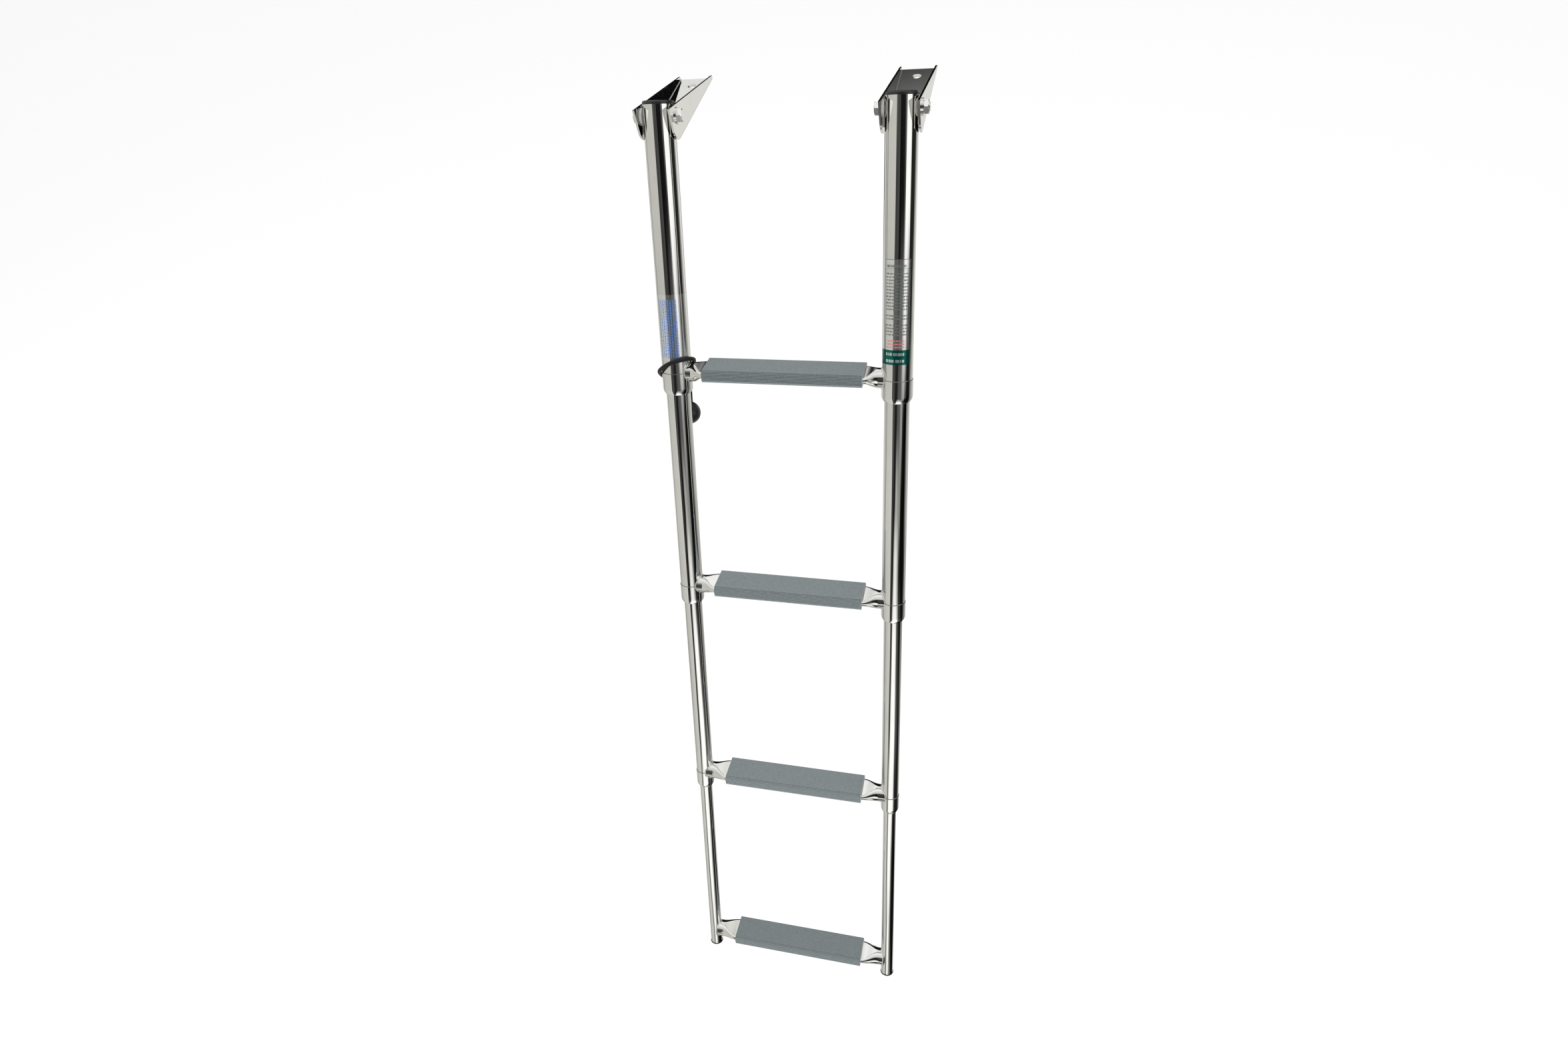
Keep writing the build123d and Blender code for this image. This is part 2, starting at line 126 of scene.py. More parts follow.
class Shader:
    """A node material with short ways to add and join nodes."""

    def __init__(self, name):
        self.material = bpy.data.materials.new(name)
        self.material.use_nodes = True
        self.tree = self.material.node_tree
        self.tree.nodes.clear()
        self.output = self.tree.nodes.new("ShaderNodeOutputMaterial")
        self.surface = self.tree.nodes.new("ShaderNodeBsdfPrincipled")
        self.join(self.surface.outputs[0], self.output.inputs["Surface"])

    def join(self, source, target):
        self.tree.links.new(source, target)

    def feed(self, value, socket):
        if isinstance(value, bpy.types.NodeSocket):
            self.join(value, socket)
        else:
            socket.default_value = value

    def node(self, kind, **settings):
        made = self.tree.nodes.new("ShaderNode" + kind)
        for key, value in settings.items():
            setattr(made, key, value)
        return made

    def set(self, name, value):
        self.feed(value, self.surface.inputs[name])

    def math(self, operation, first, second=0.0, third=0.0):
        made = self.node("Math", operation=operation)
        self.feed(first, made.inputs[0])
        self.feed(second, made.inputs[1])
        self.feed(third, made.inputs[2])
        return made.outputs[0]

    def dot(self, vector, direction):
        made = self.node("VectorMath", operation="DOT_PRODUCT")
        self.feed(vector, made.inputs[0])
        made.inputs[1].default_value = direction
        return made.outputs["Value"]

    def place(self):
        return self.node("TexCoord").outputs["Object"]

    def ladder_coordinates(self):
        """The surface point as one vector: across, behind and up the rails, in metres."""
        place = self.place()
        made = self.node("CombineXYZ")
        self.join(self.math("SUBTRACT", self.dot(place, ACROSS), HINGE.dot(ACROSS)), made.inputs[0])
        self.join(self.math("SUBTRACT", self.dot(place, BEHIND), HINGE.dot(BEHIND)), made.inputs[1])
        self.join(self.math("SUBTRACT", self.dot(place, UP), HINGE.dot(UP)), made.inputs[2])
        return made.outputs[0]

    def stretched(self, vector, scale):
        made = self.node("Mapping")
        self.feed(vector, made.inputs["Vector"])
        made.inputs["Scale"].default_value = scale
        return made.outputs[0]

    def noise(self, vector, scale, detail=3.0, roughness=0.5):
        made = self.node("TexNoise")
        self.feed(vector, made.inputs["Vector"])
        made.inputs["Scale"].default_value = scale
        made.inputs["Detail"].default_value = detail
        made.inputs["Roughness"].default_value = roughness
        return made.outputs["Fac"]

    def spread(self, value, low, high, to_low, to_high):
        made = self.node("MapRange")
        self.feed(value, made.inputs["Value"])
        for name, number in zip(("From Min", "From Max", "To Min", "To Max"), (low, high, to_low, to_high)):
            made.inputs[name].default_value = number
        return made.outputs[0]

    def mix(self, share, first, second):
        made = self.node("Mix", data_type="RGBA")
        colors = [socket for socket in made.inputs if socket.type == "RGBA"]
        self.feed(share, made.inputs["Factor"])
        self.feed(first, colors[0])
        self.feed(second, colors[1])
        return [socket for socket in made.outputs if socket.type == "RGBA"][0]

    def bump(self, height, strength, distance):
        made = self.node("Bump")
        self.feed(height, made.inputs["Height"])
        made.inputs["Strength"].default_value = strength
        made.inputs["Distance"].default_value = distance
        self.join(made.outputs[0], self.surface.inputs["Normal"])


def both(shader, *parts):
    """1 where every part is 1."""
    made = parts[0]
    for part in parts[1:]:
        made = shader.math("MULTIPLY", made, part)
    return made


def either(shader, *parts):
    """1 where any part is 1."""
    made = parts[0]
    for part in parts[1:]:
        made = shader.math("MAXIMUM", made, part)
    return made


def grey(value, warmth=0.0):
    return (value, value, value * (1 - warmth), 1)


STEEL = (0.83, 0.825, 0.80, 1)
WELD_GREYS = ((0.92, 0.91, 0.88), (0.74, 0.73, 0.7))
EDGE_FLATTENING = 0.8


def steel_base(shader, coordinates, smooth=0.02, dull=0.06):
    """Mirror-polished stainless with a little haze and a few soft handling marks."""
    haze = shader.noise(coordinates, 26, 4, 0.6)
    marks = shader.noise(shader.stretched(coordinates, (1, 1, 0.35)), 240, 5, 0.7)
    rough = shader.math(
        "ADD", shader.spread(haze, 0.35, 0.7, smooth, dull), shader.spread(marks, 0.6, 0.8, 0.0, 0.12)
    )
    shader.set("Metallic", 1.0)
    shader.set("Roughness", rough)
    return haze, marks


def polished_steel(name, smooth=0.02, dull=0.06):
    shader = Shader(name)
    coordinates = shader.ladder_coordinates()
    haze, marks = steel_base(shader, coordinates, smooth, dull)
    color = shader.mix(shader.spread(haze, 0.3, 0.75, 0, 1), STEEL, (0.775, 0.77, 0.745, 1))
    worn = shader.spread(marks, 0.62, 0.8, 0, 0.5)
    shader.set("Base Color", shader.mix(worn, color, (0.6, 0.6, 0.58, 1)))
    return shader.material


def collar_steel():
    """Polished collar whose turned-in lower edge keeps the stripes of its upright side."""
    shader = Shader("collar_steel")
    coordinates = shader.ladder_coordinates()
    steel_base(shader, coordinates)
    shader.set("Base Color", STEEL)
    own = shader.node("VectorTransform", vector_type="NORMAL", convert_from="WORLD", convert_to="OBJECT")
    shader.join(shader.node("NewGeometry").outputs["Normal"], own.inputs[0])
    rise = shader.math("MULTIPLY", shader.dot(own.outputs[0], UP), EDGE_FLATTENING)
    lift = shader.node("VectorMath", operation="SCALE")
    lift.inputs[0].default_value = UP
    shader.feed(rise, lift.inputs["Scale"])
    flat = shader.node("VectorMath", operation="SUBTRACT")
    shader.join(own.outputs[0], flat.inputs[0])
    shader.join(lift.outputs[0], flat.inputs[1])
    back = shader.node("VectorTransform", vector_type="NORMAL", convert_from="OBJECT", convert_to="WORLD")
    shader.join(flat.outputs[0], back.inputs[0])
    shader.join(back.outputs[0], shader.surface.inputs["Normal"])
    return shader.material


def turned_steel():
    """Fasteners: plainer steel that spreads the reflections."""
    shader = Shader("turned_steel")
    coordinates = shader.ladder_coordinates()
    grain = shader.noise(coordinates, 1200, 3)
    shader.set("Base Color", shader.mix(grain, (0.9, 0.9, 0.88, 1), (0.74, 0.74, 0.72, 1)))
    shader.set("Metallic", 1.0)
    shader.set("Roughness", shader.spread(grain, 0.3, 0.7, 0.14, 0.24))
    shader.bump(grain, 0.08, 0.0001)
    return shader.material


def weld_steel(name, tone):
    """Brushed weld metal, rougher than the polished tube; tone 1 is bright, lower is stained."""
    shader = Shader(name)
    coordinates = shader.ladder_coordinates()
    grain = shader.noise(coordinates, 900, 3)
    bright, plain = (tuple(c * tone for c in color) + (1,) for color in WELD_GREYS)
    shader.set("Base Color", shader.mix(grain, bright, plain))
    shader.set("Metallic", 1.0)
    shader.set("Roughness", shader.spread(grain, 0.3, 0.7, 0.08, 0.18))
    shader.bump(grain, 0.12, 0.0002)
    return shader.material


def tread_pvc(section):
    """Grey marine PVC: speckled grain, painted shade per section, painted shade in the grooves between the
    ribs, painted light on the ribbed front, pale cut ends.
    """
    shader = Shader(f"tread_pvc_{section}")
    coordinates = shader.ladder_coordinates()
    grit = shader.noise(coordinates, 2600, 2, 0.7)
    speckle = shader.noise(shader.stretched(coordinates, (0.4, 1, 1)), 820, 3, 0.75)
    tone = shader.math("ADD", shader.math("MULTIPLY", grit, 0.35), shader.math("MULTIPLY", speckle, 0.65))
    share = shader.spread(tone, 0.38, 0.62, 0, 1)
    # Painted shade and light: the greys are scaled down for lower sections, and the ribbed front gets a
    # lighter copy.
    top, front = (
        shader.mix(
            share,
            *(tuple(c * gain for c in color) + (1,) for color in TREAD_GREYS),
        )
        for gain in (TREAD_PAINTED_SHADE[section], TREAD_PAINTED_SHADE[section] * FRONT_PAINTED_LIGHT[section])
    )
    facing = shader.math("ABSOLUTE", shader.dot(shader.node("NewGeometry").outputs["True Normal"], ACROSS))
    cut = shader.spread(facing, 0.85, 0.95, 0, 1)

    # A groove is where the surface lies inside the outline: below the front face beside the
    # nose's centre, nearer than the nose radius above it.
    away = shader.node("VectorMath", operation="SUBTRACT")
    shader.join(shader.place(), away.inputs[0])
    away.inputs[1].default_value = at(0, TREAD_SETBACK, step_level(section) + TREAD_RAISE)
    tilt = math.radians(TREAD_TILT)
    back = BEHIND * math.cos(tilt) + UP * math.sin(tilt)
    above = UP * math.cos(tilt) - BEHIND * math.sin(tilt)
    to_front = shader.math("SUBTRACT", NOSE_CENTRE[0], shader.dot(away.outputs[0], back))
    to_top = shader.math("SUBTRACT", shader.dot(away.outputs[0], above), NOSE_CENTRE[1])
    upper = shader.math("MAXIMUM", to_top, 0.0)
    reach = shader.math(
        "SQRT", shader.math("ADD", shader.math("POWER", to_front, 2.0), shader.math("POWER", upper, 2.0))
    )
    depth = shader.math("SUBTRACT", NOSE_RADIUS, reach)
    in_front = both(
        shader,
        shader.math("GREATER_THAN", to_front, -RIBS_BEHIND),
        shader.math("LESS_THAN", depth, GROOVE_DEEPEST),
    )
    ribbed = both(shader, in_front, shader.math("GREATER_THAN", to_top, -RIBS_BELOW))
    # Painted light: towards the nose the colour blends to the lighter front copy.
    body = shader.mix(
        shader.math("MULTIPLY", in_front, shader.spread(to_front, 0, FRONT_BLEND, 0, 1)), top, front
    )
    # Painted shade: deeper in a groove the colour goes towards near-black, less on lower sections.
    painted_groove_shade = shader.spread(depth, GROOVE_START, GROOVE_FULL, 0, GROOVE_PAINTED_SHADE[section])
    groove = shader.math("MULTIPLY", painted_groove_shade, ribbed)
    body = shader.mix(groove, body, (0.022, 0.027, 0.029, 1))
    shader.set("Base Color", shader.mix(cut, body, (0.55, 0.58, 0.59, 1)))
    shader.set("Roughness", shader.spread(speckle, 0.3, 0.7, 0.42, 0.56))
    shader.set("Specular IOR Level", 0.4)
    shader.bump(grit, 0.35, 0.0003)
    return shader.material


def moulded_plastic(name, color, low, high, scale=700):
    """Moulded plastic with a fine eggshell texture."""
    shader = Shader(name)
    coordinates = shader.ladder_coordinates()
    grain = shader.noise(coordinates, scale, 3)
    wear = shader.noise(coordinates, 60, 3, 0.6)
    lighter = tuple(min(1.0, c * 1.5 + 0.004) for c in color[:3]) + (1,)
    shader.set("Base Color", shader.mix(shader.spread(wear, 0.45, 0.75, 0, 1), color, lighter))
    shader.set("Roughness", shader.spread(wear, 0.3, 0.7, low, high))
    shader.bump(grain, 0.12, 0.0002)
    return shader.material


def cord_sleeve():
    """Black braided elastic sleeve."""
    shader = Shader("cord_sleeve")
    coordinates = shader.ladder_coordinates()
    fibre = shader.noise(coordinates, 1800, 3)
    shader.set("Base Color", shader.mix(fibre, (0.003, 0.003, 0.0035, 1), (0.014, 0.014, 0.015, 1)))
    shader.set("Roughness", 0.5)
    shader.set("Specular IOR Level", 0.3)
    shader.bump(fibre, 0.3, 0.0003)
    return shader.material


# ---- labels ---------------------------------------------------------------------


def between(shader, value, low, high):
    """1 where value lies between low and high."""
    return shader.math(
        "MULTIPLY", shader.math("GREATER_THAN", value, low), shader.math("LESS_THAN", value, high)
    )


def label_place(shader, name):
    """Arc length round the rail from its front, and height up the rail, both in metres."""
    coordinates = shader.ladder_coordinates()
    split = shader.node("SeparateXYZ")
    shader.join(coordinates, split.inputs[0])
    centre = TUBES[name, 1]["x"] - HINGE.x
    across = shader.math("SUBTRACT", split.outputs[0], centre)
    turn = shader.math("ARCTAN2", across, shader.math("MULTIPLY", split.outputs[1], -1.0))
    arc = shader.math("MULTIPLY", turn, TUBES[name, 1]["radius"])
    return coordinates, arc, split.outputs[2]


def dashes(shader, along, row, pitch, gap):
    """Word-like dashes along a row, different in each row."""
    shifted = shader.math("MULTIPLY_ADD", row, 7.31, shader.math("DIVIDE", along, pitch))
    made = shader.node("TexNoise", noise_dimensions="1D")
    shader.join(shifted, made.inputs["W"])
    made.inputs["Scale"].default_value = 1.0
    made.inputs["Detail"].default_value = 1.0
    return shader.math("GREATER_THAN", made.outputs["Fac"], gap)


def rows_of(shader, along, pitch, low, high):
    """The number of the row a point is in, and 1 within the row's own band."""
    scaled = shader.math("DIVIDE", along, pitch)
    return shader.math("FLOOR", scaled), between(shader, shader.math("FRACT", scaled), low, high)


def finish_label(shader, coordinates, ink, ink_color, gloss=0.1):
    """Hazy film over polished steel, inked where ink is 1; gloss is how far the ink mirrors."""
    haze, marks = steel_base(shader, coordinates)
    shader.set("Base Color", shader.mix(ink, STEEL, ink_color))
    inked = shader.node("Mix", data_type="FLOAT")
    shader.feed(ink, inked.inputs["Factor"])
    shader.feed(0.93, inked.inputs["A"])
    shader.feed(gloss, inked.inputs["B"])
    shader.set("Metallic", inked.outputs["Result"])
    shader.set("Roughness", shader.spread(haze, 0.3, 0.7, 0.07, 0.12))
    shader.set("Specular IOR Level", 0.25)
    shader.set("Coat Weight", 0.15)
    shader.set("Coat Roughness", 0.06)
    return shader.material


def left_label():
    """Columns of word-like blue marks that run up the rail, the first one slate."""
    shader = Shader("left_label_film")
    coordinates, arc, height = label_place(shader, "left")
    low, high = rail_span("left_label")
    first = -13.6 * MM
    column, stroke = rows_of(shader, shader.math("SUBTRACT", arc, first), 3.3 * MM, 0.16, 0.72)
    words = dashes(shader, height, column, 1.15 * MM, 0.47)
    rows = between(shader, height, low.z + 3 * MM, high.z - 6 * MM)
    columns = between(shader, arc, first, 13.0 * MM)
    ink = shader.math("MULTIPLY", both(shader, stroke, words, rows, columns), 0.88)
    slate = shader.math("LESS_THAN", column, 0.5)
    return finish_label(
        shader, coordinates, ink, shader.mix(slate, (0.01, 0.16, 0.6, 1), (0.1, 0.13, 0.2, 1))
    )


def right_label():
    """A ruled box of grey-green word-like rows, three red rows and a solid dark green foot."""
    shader = Shader("right_label_film")
    coordinates, arc, height = label_place(shader, "right")
    low, high = rail_span("right_label")
    foot = low.z + 18 * MM
    left = -15.8 * MM
    right = 16.8 * MM
    rule = 0.55 * MM
    row, stroke = rows_of(shader, height, 3.75 * MM, 0.22, 0.7)
    words = dashes(shader, arc, row, 1.15 * MM, 0.45)
    body = between(shader, height, foot + 16 * MM, high.z - 13 * MM)
    body = both(shader, body, between(shader, arc, left + 1.6 * MM, right - 2.5 * MM))
    gaps = dashes(shader, row, row, 1.0, 0.36)
    head = both(
        shader,
        between(shader, height, high.z - 9 * MM, high.z - 6.2 * MM),
        between(shader, arc, left + 2.5 * MM, right - 5 * MM),
    )
    text = both(shader, words, either(shader, both(shader, stroke, body, gaps), head))
    red_rows = both(
        shader,
        between(shader, height, foot + 2.5 * MM, foot + 13.5 * MM),
        between(shader, arc, left + 4 * MM, right - 6 * MM),
    )
    red = both(shader, stroke, words, red_rows)
    inside = between(shader, arc, left, right)
    top_rule = between(shader, height, high.z - rule, high.z)
    head_rule = both(
        shader,
        between(shader, height, high.z - 11 * MM, high.z - 11 * MM + rule),
        between(shader, arc, left + 2 * MM, right - 2 * MM),
    )
    side_rules = either(
        shader, between(shader, arc, left, left + rule), between(shader, arc, right - rule, right)
    )
    side_rules = both(shader, side_rules, shader.math("GREATER_THAN", height, foot))
    rules = both(shader, either(shader, top_rule, head_rule, side_rules), inside)
    band = both(
        shader, shader.math("LESS_THAN", height, foot), shader.math("GREATER_THAN", arc, -21.5 * MM)
    )
    bar_row, bars = rows_of(shader, shader.math("SUBTRACT", height, low.z), 8.2 * MM, 0.36, 0.78)
    bars = both(shader, bars, between(shader, arc, left + 3 * MM, right - 5 * MM))
    bars = both(shader, bars, dashes(shader, arc, bar_row, 2.1 * MM, 0.45))
    ink = either(
        shader,
        shader.math("MULTIPLY", text, 0.85),
        shader.math("MULTIPLY", red, 0.7),
        shader.math("MULTIPLY", rules, 0.9),
        band,
    )
    color = shader.mix(red, (0.02, 0.045, 0.035, 1), (0.6, 0.02, 0.015, 1))
    color = shader.mix(band, color, (0.004, 0.12, 0.095, 1))
    color = shader.mix(both(shader, band, bars), color, (0.5, 0.62, 0.58, 1))
    return finish_label(shader, coordinates, ink, color, shader.spread(band, 0, 1, 0.1, 0.72))


# ---- mesh helpers -----------------------------------------------------------------


def add_piece(name, mesh, material, body):
    """Link a finished mesh, give it its material and let it ride."""
    piece = bpy.data.objects.new(name, mesh)
    bpy.context.scene.collection.objects.link(piece)
    piece.data.materials.clear()
    piece.data.materials.append(material)
    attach(piece, body)
    return piece


def swept_mesh(name, points, radius_at, around=16, closed=True, up=None):
    """A tube mesh that follows points; radius_at(share, turn) gives its radius."""
    count = len(points)
    made = bmesh.new()
    rings = []
    normal = None
    for index, point in enumerate(points):
        before = points[index - 1] if index or closed else point
        after = points[(index + 1) % count] if index < count - 1 or closed else point
        tangent = (after - before).normalized()
        if normal is None:
            normal = (up or UP).cross(tangent)
            if normal.length < 1e-6:
                normal = BEHIND.cross(tangent)
        normal = (normal - tangent * normal.dot(tangent)).normalized()
        binormal = tangent.cross(normal)
        ring = []
        for step in range(around):
            turn = 2 * math.pi * step / around
            radius = radius_at(index / count, turn)
            away = normal * math.cos(turn) + binormal * math.sin(turn)
            ring.append(made.verts.new(point + away * radius))
        rings.append(ring)
    last = count if closed else count - 1
    for index in range(last):
        ring, following = rings[index], rings[(index + 1) % count]
        for step in range(around):
            nxt = (step + 1) % around
            made.faces.new((ring[step], ring[nxt], following[nxt], following[step]))
    if not closed:
        made.faces.new(list(reversed(rings[0])))
        made.faces.new(rings[-1])
    bmesh.ops.recalc_face_normals(made, faces=made.faces)
    mesh = bpy.data.meshes.new(name)
    made.to_mesh(mesh)
    made.free()
    mesh.shade_smooth()
    return mesh


# ---- welds ------------------------------------------------------------------------

SEAM_BEAD = 0.55 * MM
SADDLE_BEAD = 1.0 * MM
RIPPLE = 0.12
STEP_RADIUS = 12.7 * MM
COPE_DEPTH = 5.0 * MM


def ripple_bead(radius, ripples):
    """The radius of a weld bead with evenly laid ripples."""
    return lambda share, turn: radius * (1 + RIPPLE * math.sin(2 * math.pi * ripples * share))


def seam_weld(name, section, material):
    """The ring of weld between a rail and its collar."""
    tube = TUBES[name, section]
    radius = tube["radius"] + 0.1 * MM
    count = 240
    points = []
    for index in range(count):
        turn = 2 * math.pi * index / count
        points.append(at(tube["x"] + radius * math.sin(turn), -radius * math.cos(turn), tube["foot"]))
    title = f"{name}_seam_weld_{section}"
    mesh = swept_mesh(title, points, ripple_bead(SEAM_BEAD, 60), 10)
    add_piece(title, mesh, material, f"section_{section}")


def saddle_weld(name, side, section, material):
    """The fillet of weld where a round step end meets its rail."""
    tube = TUBES[name, section]
    level = step_level(section)
    count = 200
    points = []
    for index in range(count):
        turn = 2 * math.pi * index / count
        behind = STEP_RADIUS * math.sin(turn)
        height = STEP_RADIUS * math.cos(turn)
        reach = math.sqrt(max(tube["radius"] ** 2 - behind ** 2, COPE_DEPTH ** 2))
        points.append(at(tube["x"] - side * reach, behind, level + height))
    title = f"{name}_step_weld_{section}"
    mesh = swept_mesh(title, points, ripple_bead(SADDLE_BEAD, 45), 12)
    add_piece(title, mesh, material, f"section_{section}")


# ---- materials on the CAD nodes ------------------------------------------------------

MATERIALS = {
    "polished_steel": polished_steel("polished_steel"),
    "black_plastic": moulded_plastic("black_plastic", (0.012, 0.012, 0.014, 1), 0.22, 0.36),
    "white_nylon": moulded_plastic("white_nylon", (0.8, 0.8, 0.76, 1), 0.4, 0.55),
    "ball_plastic": moulded_plastic("ball_plastic", (0.011, 0.011, 0.013, 1), 0.3, 0.42, 900),
    "elastic_cord": cord_sleeve(),
}
SHEET_STEEL = polished_steel("bracket_sheet_steel", 0.03, 0.07)
COLLAR_STEEL = collar_steel()
TURNED_STEEL = turned_steel()
WELD_STEEL = weld_steel("weld_steel", 1.0)
SEAM_STEEL = weld_steel("seam_steel", 0.3)
SLOTS = {entry["node"]: entry["material_slot"] for entry in frame["record"]["subparts"]}

for node, thing in frame["nodes"].items():
    material = MATERIALS.get(SLOTS[node])
    if node.endswith("_bracket"):
        material = SHEET_STEEL
    if node == "pivot_washers" or node.endswith(("_pivot_bolt", "_pivot_nut")):
        material = TURNED_STEEL
    if SLOTS[node] == "tread_pvc":
        material = tread_pvc(int(node.split("_")[1]))
    if "_collar_" in node:
        material = COLLAR_STEEL
    if node == "left_label":
        material = left_label()
    if node == "right_label":
        material = right_label()
    thing.data.materials.clear()
    thing.data.materials.append(material)

for name, side in SIDES:
    for section in range(1, 4):
        seam_weld(name, section, SEAM_STEEL)
    for section in range(1, 5):
        saddle_weld(name, side, section, WELD_STEEL)

# ---- world, floor, lights ------------------------------------------------------------

METAL_GAIN = 1 / 0.8

# How the studio looks round the ladder, as greys from 0 to 255: azimuth in degrees from the
# ladder's front, positive to the right, at a few elevations.  The polished tubes mirror these
# bands as upright stripes, and each section down the ladder mirrors a lower level.
STUDIO = (
    (-80, ((-180, 150), (-100, 170), (-34, 180), (-22, 90), (-4, 40), (25, 35), (46, 210), (66, 210),
           (78, 60), (110, 40), (130, 140), (180, 150))),
    (-58, ((-180, 200), (-100, 185), (-34, 190), (-22, 90), (-4, 40), (25, 35), (38, 150), (46, 252),
           (66, 252), (78, 60), (110, 40), (130, 150), (150, 200), (180, 200))),
    (-45, ((-180, 190), (-120, 182), (-98, 150), (-80, 180), (-42, 193), (-30, 165), (-18, 80), (-8, 190),
           (2, 250), (17, 246), (30, 182), (45, 102), (60, 34), (80, 20), (123, 12), (140, 150), (180, 190))),
    (-42, ((-180, 195), (-120, 188), (-100, 158), (-78, 182), (-44, 196), (-34, 92), (-26, 104), (-14, 238),
           (-4, 254), (24, 250), (36, 192), (46, 112), (60, 34), (74, 20), (124, 18), (140, 175),
           (180, 195))),
    (-38, ((-180, 200), (-120, 190), (-100, 158), (-78, 185), (-38, 196), (-27, 96), (-18, 150), (-6, 253),
           (42, 252), (50, 148), (62, 58), (76, 34), (112, 28), (124, 92), (136, 150), (180, 200))),
    (-34, ((-180, 200), (-120, 190), (-104, 150), (-85, 178), (-46, 197), (-31, 190), (-22, 66), (-10, 72),
           (-1, 216), (5, 255), (45, 254), (55, 150), (66, 70), (80, 74), (92, 34), (114, 34), (126, 110),
           (149, 160), (180, 200))),
    (-30, ((-180, 200), (-122, 190), (-107, 128), (-95, 168), (-50, 192), (-28, 192), (-20, 70), (-8, 48),
           (-2, 150), (5, 250), (38, 254), (46, 200), (56, 88), (68, 78), (78, 48), (92, 24), (105, 38),
           (116, 112), (137, 152), (180, 200))),
    (-25, ((-180, 190), (-125, 188), (-105, 150), (-96, 180), (-30, 195), (-20, 60), (-8, 30), (-2, 20),
           (5, 190), (16, 235), (32, 210), (42, 140), (52, 62), (60, 24), (98, 14), (112, 60), (132, 150),
           (180, 190))),
    (-21, ((-180, 195), (-125, 200), (-107, 147), (-96, 186), (-30, 196), (-20, 60), (-10, 54), (-3, 16),
           (3, 30), (9, 112), (16, 176), (30, 142), (46, 135), (54, 100), (62, 22), (98, 14), (108, 86),
           (130, 160), (180, 195))),
    (-16, ((-180, 195), (-125, 202), (-107, 150), (-96, 182), (-32, 190), (-24, 70), (-13, 78), (-7, 30),
           (9, 38), (16, 82), (36, 92), (44, 140), (57, 140), (64, 50), (76, 16), (100, 16), (112, 120),
           (128, 165), (180, 195))),
    (-10, ((-180, 190), (-125, 190), (-108, 135), (-96, 172), (-32, 180), (-24, 64), (0, 54), (5, 24),
           (12, 26), (18, 66), (34, 88), (44, 170), (50, 230), (63, 228), (72, 140), (82, 40), (112, 42),
           (127, 150), (149, 200), (180, 190))),
    (-3, ((-180, 60), (-172, 10), (-148, 10), (-138, 190), (-125, 196), (-110, 148), (-98, 184),
          (-34, 187), (-18, 60), (-4, 74), (6, 22), (31, 30), (42, 80), (49, 252), (69, 252),
          (95, 34), (116, 44), (134, 148), (150, 214), (180, 200))),
    (14, ((-180, 60), (-172, 10), (-148, 10), (-138, 190), (-100, 184), (-30, 188), (-20, 120), (-6, 40),
          (25, 36), (42, 150), (50, 252), (70, 252), (84, 110), (95, 40), (116, 46), (134, 148), (150, 217),
          (180, 200))),
    (28, ((-180, 20), (-150, 20), (-135, 190), (-100, 190), (-10, 200), (30, 190), (55, 235), (90, 190),
          (130, 120), (150, 120), (180, 20))),
    (50, ((-180, 8), (-162, 8), (-154, 217), (-100, 217), (0, 215), (100, 200), (135, 60), (145, 8),
          (180, 8))),
    (64, ((-180, 236), (180, 236))),
    (85, ((-180, 204), (180, 204))),
)


STRONG_STEP = 45
EDGE_SHARE = 0.3


def as_light(seen):
    """The linear brightness that shows as a grey from 0 to 255 in polished steel."""
    return METAL_GAIN * (seen / 255) ** 2.2


def crisp(stops):
    """The stops with each strong change of grey squeezed into the middle of its gap."""
    made = [stops[0]]
    for (start, before), (end, after) in zip(stops, stops[1:]):
        if abs(after - before) > STRONG_STEP:
            middle = (start + end) / 2
            half = (end - start) * EDGE_SHARE / 2
            if len(made) > 1 and made[-1] == (start, before):
                made.pop()
            made += [(middle - half, before), (middle + half, after)]
        made.append((end, after))
    return made


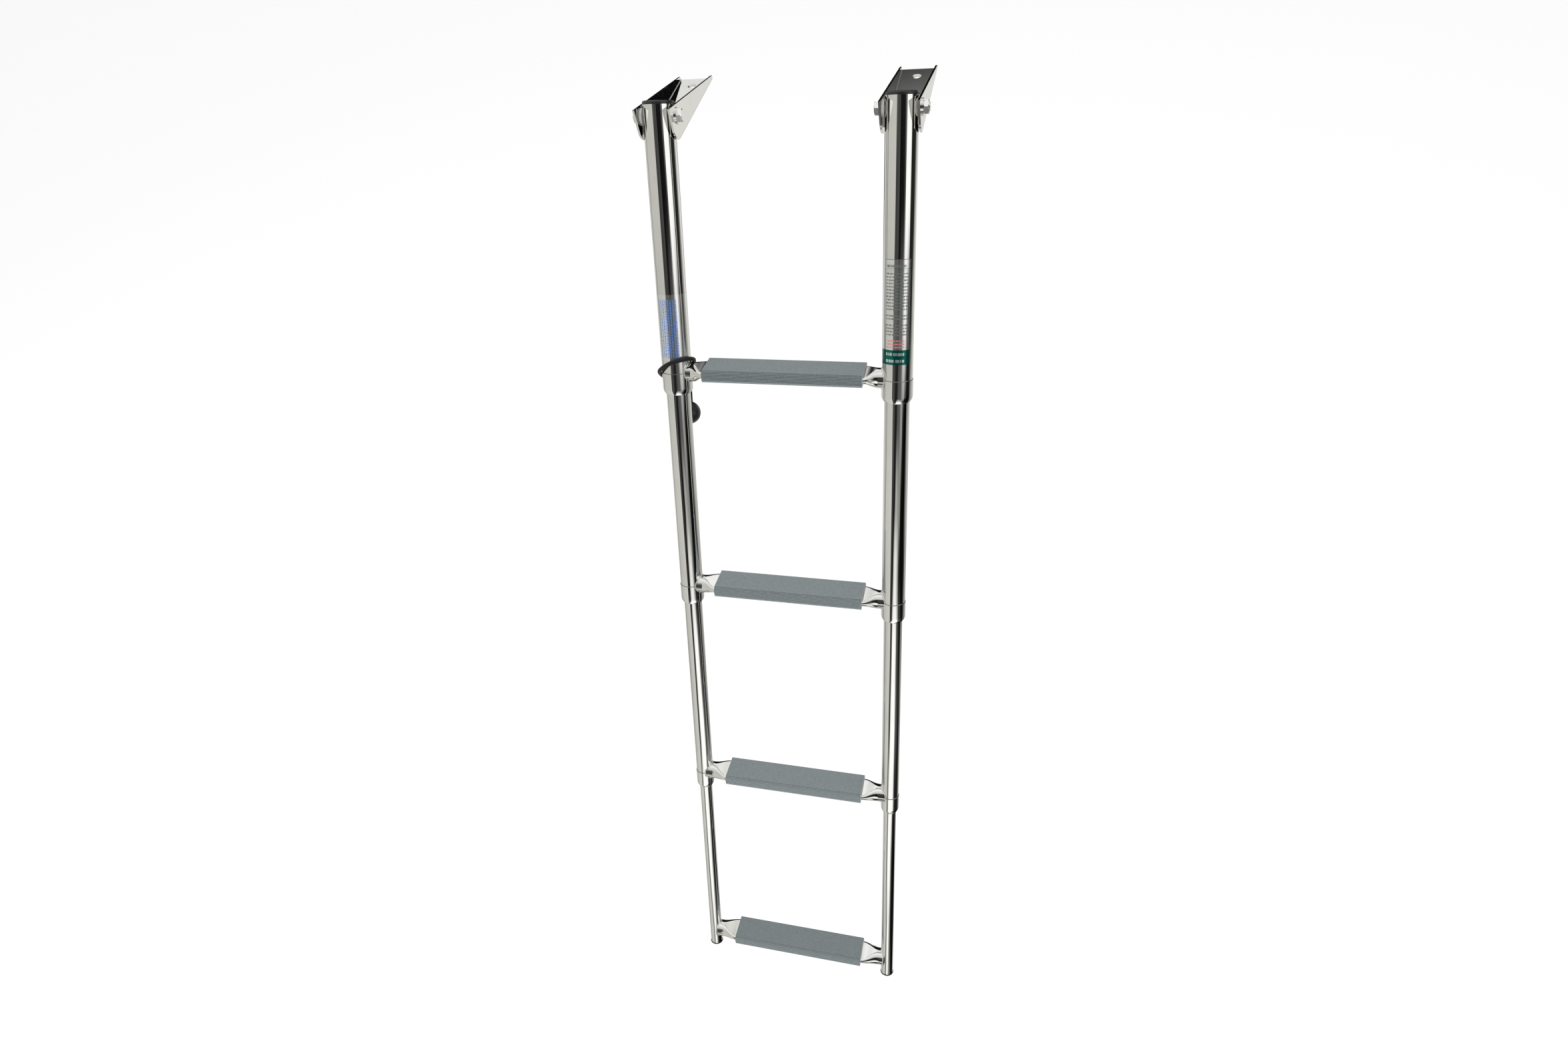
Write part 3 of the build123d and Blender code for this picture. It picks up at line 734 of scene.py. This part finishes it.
def studio_world():
    """Banded studio for mirror reflections, plain soft white for everything else."""
    world = bpy.data.worlds.new("studio")
    bpy.context.scene.world = world
    world.use_nodes = True
    tree = world.node_tree
    tree.nodes.clear()

    def node(kind, **settings):
        made = tree.nodes.new("ShaderNode" + kind)
        for key, value in settings.items():
            setattr(made, key, value)
        return made

    def math_node(operation, first, second=0.0):
        made = node("Math", operation=operation)
        for socket, value in zip(made.inputs, (first, second)):
            if isinstance(value, bpy.types.NodeSocket):
                tree.links.new(value, socket)
            else:
                socket.default_value = value
        return made.outputs[0]

    direction = node("TexCoord").outputs["Generated"]

    def along(axis):
        made = node("VectorMath", operation="DOT_PRODUCT")
        tree.links.new(direction, made.inputs[0])
        made.inputs[1].default_value = axis
        return made.outputs["Value"]

    azimuth = math_node("ARCTAN2", along(ACROSS), along(-BEHIND))
    share = math_node("MULTIPLY_ADD", azimuth, 1 / (2 * math.pi))
    share.node.inputs[2].default_value = 0.5
    elevation = math_node("MULTIPLY", math_node("ARCSINE", along(UP)), 180 / math.pi)

    mixed = None
    previous = None
    for level, stops in STUDIO:
        ramp = node("ValToRGB")
        tree.links.new(share, ramp.inputs[0])
        elements = ramp.color_ramp.elements
        elements.remove(elements[-1])
        for index, (degrees, seen) in enumerate(crisp(stops)):
            element = elements.new((degrees + 180) / 360) if index else elements[0]
            element.color = grey(as_light(seen), 0.05 if 140 < seen < 215 else 0.0)
        if mixed is None:
            mixed = ramp.outputs[0]
        else:
            rise = node("MapRange", interpolation_type="SMOOTHSTEP")
            tree.links.new(elevation, rise.inputs["Value"])
            rise.inputs["From Min"].default_value = previous
            rise.inputs["From Max"].default_value = level
            blend = node("Mix", data_type="RGBA")
            colors = [s for s in blend.inputs if s.type == "RGBA"]
            tree.links.new(rise.outputs[0], blend.inputs[0])
            tree.links.new(mixed, colors[0])
            tree.links.new(ramp.outputs[0], colors[1])
            mixed = [s for s in blend.outputs if s.type == "RGBA"][0]
        previous = level

    path = node("LightPath")
    glossy = node("Background")
    tree.links.new(mixed, glossy.inputs[0])
    soft = node("Background")
    soft.inputs[0].default_value = (1, 1, 1, 1)
    soft.inputs[1].default_value = 0.84
    pale = node("Background")
    pale.inputs[0].default_value = (1, 1, 1, 1)
    pale.inputs[1].default_value = 1.0
    first = node("MixShader")
    tree.links.new(path.outputs["Is Glossy Ray"], first.inputs[0])
    tree.links.new(soft.outputs[0], first.inputs[1])
    tree.links.new(glossy.outputs[0], first.inputs[2])
    second = node("MixShader")
    tree.links.new(path.outputs["Is Camera Ray"], second.inputs[0])
    tree.links.new(first.outputs[0], second.inputs[1])
    tree.links.new(pale.outputs[0], second.inputs[2])
    output = node("OutputWorld")
    tree.links.new(second.outputs[0], output.inputs[0])


FLOOR_DROP = 0.3
FLOOR_HALF = 12.0


def studio_floor():
    """A wide pale floor a little below the ladder's foot, left out of the mirror reflections."""
    low = CAD_BOX[0]
    half = FLOOR_HALF
    made = bmesh.new()
    corners = ((-1, -1), (1, -1), (1, 1), (-1, 1))
    made.faces.new([made.verts.new((x * half, y * half, low[2] - FLOOR_DROP)) for x, y in corners])
    mesh = bpy.data.meshes.new("studio_floor")
    made.to_mesh(mesh)
    made.free()
    floor = bpy.data.objects.new("studio_floor", mesh)
    bpy.context.scene.collection.objects.link(floor)
    shader = Shader("floor_paint")
    shader.set("Base Color", (0.96, 0.96, 0.96, 1))
    shader.set("Emission Color", (1, 1, 1, 1))
    shader.set("Emission Strength", 0.14)
    shader.set("Roughness", 0.9)
    shader.set("Specular IOR Level", 0.1)
    mesh.materials.append(shader.material)
    floor.visible_glossy = False


def soft_light(name, place, size, power):
    """A large area light aimed at the middle of the ladder."""
    data = bpy.data.lights.new(name, "AREA")
    data.shape = "SQUARE"
    data.size = size
    data.energy = power
    light = bpy.data.objects.new(name, data)
    bpy.context.scene.collection.objects.link(light)
    centre = (Vector(CAD_BOX[0]) + Vector(CAD_BOX[1])) / 2
    light.location = place
    light.rotation_mode = "QUATERNION"
    light.rotation_quaternion = (centre - light.location).to_track_quat("-Z", "Y")
    light.visible_glossy = False


studio_world()
studio_floor()
soft_light("overhead", Vector((-0.8, -1.4, 2.2)), 2.5, 30)

# ---- camera ---------------------------------------------------------------------------

CAMERA_ACROSS = 0.3082
CAMERA_IN_FRONT = 1.1542
CAMERA_BELOW_HINGE = 0.0250
CAMERA_YAW = 15.215
CAMERA_PITCH = -22.078
CAMERA_ROLL = -1.689
CAMERA_LENS = 21.914
SENSOR_WIDTH = 36.0


def photo_camera():
    """Camera placed and turned in ladder coordinates, then put in the row frame."""
    yaw, pitch, roll = (math.radians(a) for a in (CAMERA_YAW, CAMERA_PITCH, CAMERA_ROLL))
    flat = -ACROSS * math.sin(yaw) + BEHIND * math.cos(yaw)
    forward = flat * math.cos(pitch) + UP * math.sin(pitch)
    right = ACROSS * math.cos(yaw) + BEHIND * math.sin(yaw)
    above = right.cross(forward)
    turned_right = right * math.cos(roll) + above * math.sin(roll)
    turned_above = above * math.cos(roll) - right * math.sin(roll)
    data = bpy.data.cameras.new("photo_camera")
    data.lens = CAMERA_LENS
    data.sensor_width = SENSOR_WIDTH
    data.clip_start = 0.01
    data.clip_end = 100
    camera = bpy.data.objects.new("photo_camera", data)
    bpy.context.scene.collection.objects.link(camera)
    camera.rotation_mode = "QUATERNION"
    turn = Matrix((turned_right, turned_above, -forward)).transposed()
    camera.rotation_quaternion = turn.to_quaternion()
    camera.location = at(HINGE.x + CAMERA_ACROSS, -CAMERA_IN_FRONT, -CAMERA_BELOW_HINGE)
    bpy.context.scene.camera = camera


photo_camera()
bpy.context.scene.view_settings.view_transform = "Standard"
